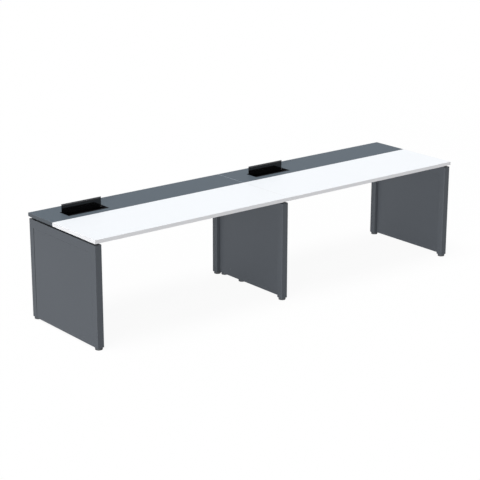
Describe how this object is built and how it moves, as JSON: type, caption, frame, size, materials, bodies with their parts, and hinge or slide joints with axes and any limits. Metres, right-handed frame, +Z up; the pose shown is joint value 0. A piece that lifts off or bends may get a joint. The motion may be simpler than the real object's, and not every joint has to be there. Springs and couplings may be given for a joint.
{
  "type": "benching desk for two",
  "caption": "Bench desk for two users side by side: white worktops, grey rear tops with flip-up cable flaps, panel legs, cable trays and riser.",
  "frame": {"origin": "on the floor, under the middle of the tops", "axes": "+X along the desk from the left bay to the right bay, +Y from the users' side to the rear, +Z up"},
  "size_m": [3.2, 0.8, 0.8052],
  "materials": {
    "white_top": "white melamine-faced board, slight gloss",
    "white_band": "white edge band",
    "grey_top": "dark grey melamine-faced board, matt",
    "grey_band": "dark grey edge band",
    "leg_paint": "grey powder coat, fine texture",
    "beam_paint": "dark grey powder coat",
    "tray_paint": "black powder coat",
    "box_black": "black moulded plastic",
    "tub_black": "black powder coat",
    "flap_black": "black anodised, glossy",
    "lip_rubber": "dark grey flexible lip",
    "foot_plastic": "dark grey moulded plastic",
    "black_plastic": "black moulded plastic",
    "zinc_steel": "zinc plated",
    "stud_steel": "bright steel"
  },
  "bodies": {
    "desk": {"white_top_left": "white_top", "white_top_right": "white_top", "white_bands": "white_band", "rear_top_left": "grey_top", "rear_top_right": "grey_top", "rear_bands": "grey_band", "left_leg_frame": "leg_paint", "mid_leg_frame": "leg_paint", "right_leg_frame": "leg_paint", "left_outer_panel": "leg_paint", "left_inner_panel": "leg_paint", "mid_leg_panel": "leg_paint", "right_outer_panel": "leg_paint", "right_inner_panel": "leg_paint", "riser_channel": "leg_paint", "riser_cover": "leg_paint", "front_beam_left": "beam_paint", "front_beam_right": "beam_paint", "seam_beam_left": "beam_paint", "seam_beam_right": "beam_paint", "rear_beam_left": "beam_paint", "rear_beam_right": "beam_paint", "tray_brackets": "beam_paint", "cable_tray_left": "tray_paint", "cable_tray_right": "tray_paint", "flap_frame_left": "box_black", "flap_frame_right": "box_black", "cable_tub_left": "tub_black", "cable_tub_right": "tub_black", "riser_feet": "foot_plastic", "post_inserts": "black_plastic", "top_spacers": "black_plastic", "panel_screws": "zinc_steel", "beam_bolts": "zinc_steel", "rail_nuts": "zinc_steel", "top_screws": "zinc_steel", "tub_screws": "zinc_steel", "tray_bolts": "zinc_steel", "riser_rivets": "zinc_steel", "flap_pins": "stud_steel"},
    "pad_left_front": {"pad_left_front": "foot_plastic"},
    "stud_left_front": {"stud_left_front": "stud_steel"},
    "pad_left_rear": {"pad_left_rear": "foot_plastic"},
    "stud_left_rear": {"stud_left_rear": "stud_steel"},
    "pad_mid_front": {"pad_mid_front": "foot_plastic"},
    "stud_mid_front": {"stud_mid_front": "stud_steel"},
    "pad_mid_rear": {"pad_mid_rear": "foot_plastic"},
    "stud_mid_rear": {"stud_mid_rear": "stud_steel"},
    "pad_right_front": {"pad_right_front": "foot_plastic"},
    "stud_right_front": {"stud_right_front": "stud_steel"},
    "pad_right_rear": {"pad_right_rear": "foot_plastic"},
    "stud_right_rear": {"stud_right_rear": "stud_steel"},
    "flap_left": {"flap_left": "flap_black", "flap_lip_left": "lip_rubber"},
    "flap_right": {"flap_right": "flap_black", "flap_lip_right": "lip_rubber"}
  },
  "joints": [
    {"name": "glide_left_front_lift", "type": "slide", "parent": "desk", "child": "pad_left_front", "axis": [0, 0, -1], "range_m": [0, 0.012]},
    {"name": "glide_left_front_turn", "type": "hinge", "parent": "pad_left_front", "child": "stud_left_front", "pos_m": [-1.572, -0.369, 0.01], "axis": [0, 0, -1], "range_deg": [0, 2880]},
    {"name": "glide_left_rear_lift", "type": "slide", "parent": "desk", "child": "pad_left_rear", "axis": [0, 0, -1], "range_m": [0, 0.012]},
    {"name": "glide_left_rear_turn", "type": "hinge", "parent": "pad_left_rear", "child": "stud_left_rear", "pos_m": [-1.572, 0.369, 0.01], "axis": [0, 0, -1], "range_deg": [0, 2880]},
    {"name": "glide_mid_front_lift", "type": "slide", "parent": "desk", "child": "pad_mid_front", "axis": [0, 0, -1], "range_m": [0, 0.012]},
    {"name": "glide_mid_front_turn", "type": "hinge", "parent": "pad_mid_front", "child": "stud_mid_front", "pos_m": [-0.0292, -0.369, 0.01], "axis": [0, 0, -1], "range_deg": [0, 2880]},
    {"name": "glide_mid_rear_lift", "type": "slide", "parent": "desk", "child": "pad_mid_rear", "axis": [0, 0, -1], "range_m": [0, 0.012]},
    {"name": "glide_mid_rear_turn", "type": "hinge", "parent": "pad_mid_rear", "child": "stud_mid_rear", "pos_m": [-0.0292, 0.369, 0.01], "axis": [0, 0, -1], "range_deg": [0, 2880]},
    {"name": "glide_right_front_lift", "type": "slide", "parent": "desk", "child": "pad_right_front", "axis": [0, 0, -1], "range_m": [0, 0.012]},
    {"name": "glide_right_front_turn", "type": "hinge", "parent": "pad_right_front", "child": "stud_right_front", "pos_m": [1.572, -0.369, 0.01], "axis": [0, 0, -1], "range_deg": [0, 2880]},
    {"name": "glide_right_rear_lift", "type": "slide", "parent": "desk", "child": "pad_right_rear", "axis": [0, 0, -1], "range_m": [0, 0.012]},
    {"name": "glide_right_rear_turn", "type": "hinge", "parent": "pad_right_rear", "child": "stud_right_rear", "pos_m": [1.572, 0.369, 0.01], "axis": [0, 0, -1], "range_deg": [0, 2880]},
    {"name": "flap_left_hinge", "type": "hinge", "parent": "desk", "child": "flap_left", "pos_m": [-1.275, 0.2435, 0.7362], "axis": [1, 0, 0], "range_deg": [0, 90]},
    {"name": "flap_right_hinge", "type": "hinge", "parent": "desk", "child": "flap_right", "pos_m": [0.325, 0.2435, 0.7362], "axis": [1, 0, 0], "range_deg": [0, 90]}
  ],
  "couplings": [
    {"joint": "glide_left_front_turn", "follows": "glide_left_front_lift", "rad_per_m": 4188.8},
    {"joint": "glide_left_rear_turn", "follows": "glide_left_rear_lift", "rad_per_m": 4188.8},
    {"joint": "glide_mid_front_turn", "follows": "glide_mid_front_lift", "rad_per_m": 4188.8},
    {"joint": "glide_mid_rear_turn", "follows": "glide_mid_rear_lift", "rad_per_m": 4188.8},
    {"joint": "glide_right_front_turn", "follows": "glide_right_front_lift", "rad_per_m": 4188.8},
    {"joint": "glide_right_rear_turn", "follows": "glide_right_rear_lift", "rad_per_m": 4188.8}
  ]
}
